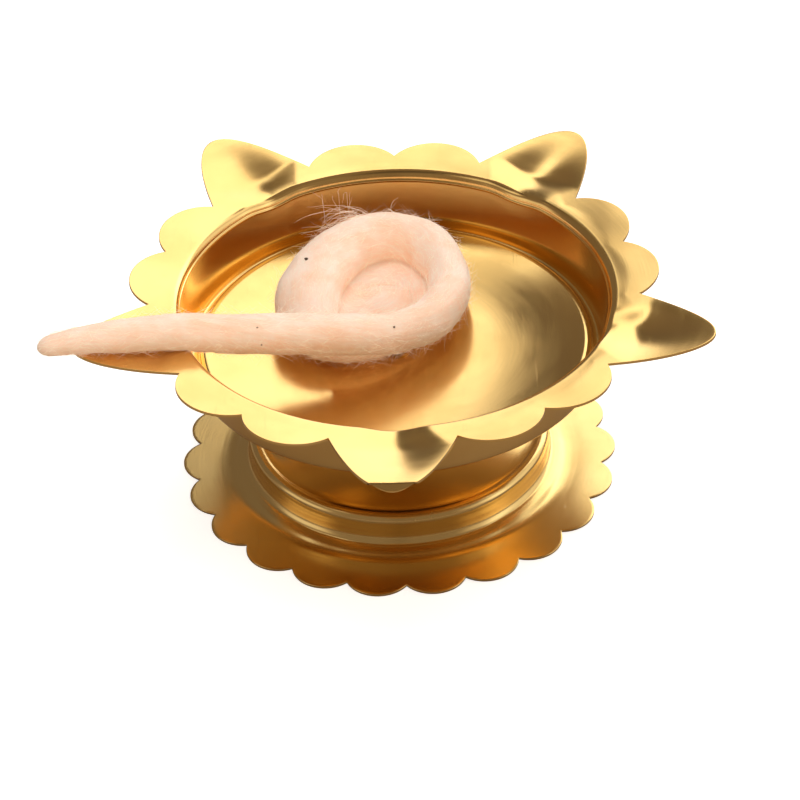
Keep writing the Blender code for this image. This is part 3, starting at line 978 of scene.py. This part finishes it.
def make_floor():
    """A pale floor. The metal mirrors it darker and warmer than it looks."""
    mesh = bpy.data.meshes.new("studio_floor")
    corners = [(x * FLOOR_SIZE, y * FLOOR_SIZE, 0) for x, y in ((-1, -1), (1, -1), (1, 1), (-1, 1))]
    mesh.from_pydata(corners, [], [(0, 1, 2, 3)])
    material, tree, shader, place = new_material("pale_floor")
    share = cloud(tree, place, 30.0)
    pale = blend_colours(tree, share, (0.70, 0.69, 0.67, 1), (0.74, 0.73, 0.71, 1))
    seen = add_node(tree, "ShaderNodeLightPath").outputs["Is Camera Ray"]
    tree.links.new(blend_colours(tree, seen, (0.33, 0.28, 0.24, 1), pale), shader["Base Color"])
    shader["Roughness"].default_value = 0.9
    shader["Emission Color"].default_value = (1.0, 0.99, 0.97, 1)
    tree.links.new(calc(tree, "MULTIPLY", seen, FLOOR_GLOW), shader["Emission Strength"])
    mesh.materials.append(material)
    floor = bpy.data.objects.new("studio_floor", mesh)
    bpy.context.scene.collection.objects.link(floor)


def soft_window_group():
    """Brightness of a soft-edged window, between two bearings and two heights in degrees."""
    inputs = [("Direction", "Vector", (0, 0, 1)), ("Left", "Float", -20.0), ("Right", "Float", 20.0),
              ("Low", "Float", 0.0), ("High", "Float", 45.0), ("Softness", "Float", 5.0),
              ("Strength", "Float", 1.0)]
    tree, given, made = new_group("soft_window", inputs, [("Light", "Float")])
    parts = add_node(tree, "ShaderNodeSeparateXYZ", {"Vector": given["Direction"]}).outputs
    bearing = calc(tree, "DEGREES", calc(tree, "ARCTAN2", parts["X"], parts["Y"]))
    height = calc(tree, "DEGREES", calc(tree, "ARCSINE", parts["Z"]))
    light = given["Strength"]
    for value, start, end in ((bearing, "Left", "Right"), (height, "Low", "High")):
        rise = between(tree, value, calc(tree, "SUBTRACT", given[start], given["Softness"]),
                       calc(tree, "ADD", given[start], given["Softness"]))
        fall = between(tree, value, calc(tree, "SUBTRACT", given[end], given["Softness"]),
                       calc(tree, "ADD", given[end], given["Softness"]), 1.0, 0.0)
        light = calc(tree, "MULTIPLY", light, calc(tree, "MULTIPLY", rise, fall))
    tree.links.new(light, made["Light"])
    return tree


def add_lamp(name, place, size, energy, colour):
    """A round lamp turned to the axis. It lights the cotton and the floor, and no metal mirrors it."""
    light = bpy.data.lights.new(name, "AREA")
    light.shape = "DISK"
    light.size = size
    light.energy = energy
    light.color = colour
    lamp = bpy.data.objects.new(name, light)
    bpy.context.scene.collection.objects.link(lamp)
    lamp.location = AXIS + Vector(place)
    lamp.rotation_mode = "QUATERNION"
    lamp.rotation_quaternion = Vector(place).to_track_quat("Z", "Y")
    lamp.visible_glossy = False


def studio_light():
    """A big soft window behind the oil lamp and dimmer ones round it, in dim warm surroundings."""
    world = bpy.data.worlds.new("studio")
    bpy.context.scene.world = world
    world.use_nodes = True
    tree = world.node_tree
    group = soft_window_group()
    direction = add_node(tree, "ShaderNodeTexCoord").outputs["Generated"]
    total = DIM_SURROUNDINGS
    for left, right, low, high, softness, strength in WINDOWS:
        inputs = {"Direction": direction, "Left": left, "Right": right, "Low": low, "High": high,
                  "Softness": softness, "Strength": strength}
        total = calc(tree, "ADD", use_group(tree, group, inputs)["Light"], total)
    background = tree.nodes["Background"]
    tree.links.new(total, background.inputs["Strength"])
    share = between(tree, total, 0.2, 1.2)
    tint = blend_colours(tree, share, (1.0, 0.80, 0.62, 1), (1.0, 0.99, 0.97, 1))
    tree.links.new(tint, background.inputs["Color"])
    add_lamp("overhead", (-0.05, 0.06, 0.62), 0.5, 1.75, (1.0, 1.0, 1.0))
    add_lamp("warm_fill", (0.05, -0.45, 0.08), 0.4, 1.2, (1.0, 0.76, 0.52))


def make_metal():
    groups = {"brushing": brushing_group(), "scratches": scratches_group(), "patina": patina_group()}
    bowl_brass = brass("bowl_brass", BOWL_RUBBED, BOWL_DULL, 0.13, 4200.0, 0.0000018, groups)
    foot_brass = brass("foot_brass", FOOT_RUBBED, FOOT_DULL, 0.18, 3600.0, 0.000004, groups)
    rivet_metal = brass("rivet_metal", RIVET_RUBBED, RIVET_DULL, 0.32, 6000.0, 0.000003, groups)
    sheet_piece("brass_bowl", bowl_rings(), bowl_brass, "polished_brass", "bowl")
    sheet_piece("brass_foot", foot_rings(), foot_brass, "polished_brass", "foot")
    make_rivet(rivet_metal)


def make_cotton():
    """The wick with its fuzz, its pulled-out tuft and the seed husk, all attached to the wick's body."""
    # The last number of each cotton is its painted glow, strongest in the loose fibres
    rolled = cotton("rolled_cotton", COTTON_PALE, COTTON_WARM, 0.00008, 0.15, 0.04)
    loose = cotton("loose_fibre", FIBRE_PALE, FIBRE_WARM, 0.000004, 0.0, 0.30)
    sections = wick_sections()
    wick = make_wick(rolled, sections)
    fuzz = fibre_piece("wick_fuzz", surface_fuzz(sections, FUZZ_FIBRES, 11), FUZZ_THICKNESS, loose)
    root = sections[round(TUFT_POINT * WICK_STEPS)][0] + Vector(TUFT_OFFSET)
    strays = loose_tuft(root, Vector(TUFT_SWEEP), TUFT_FIBRES, TUFT_REACH, TUFT_SPREAD, 3)
    strays += loose_tuft(root + Vector(STRAY_OFFSET), Vector(STRAY_SWEEP), 3, 0.004, 0.0004, 7)
    tuft = fibre_piece("wick_tuft", strays, TUFT_THICKNESS, loose)
    flecks = make_flecks(sections, fleck_brown())


def main():
    make_camera()
    bpy.context.scene.view_settings.view_transform = "Standard"
    make_metal()
    make_cotton()
    make_floor()
    studio_light()


main()
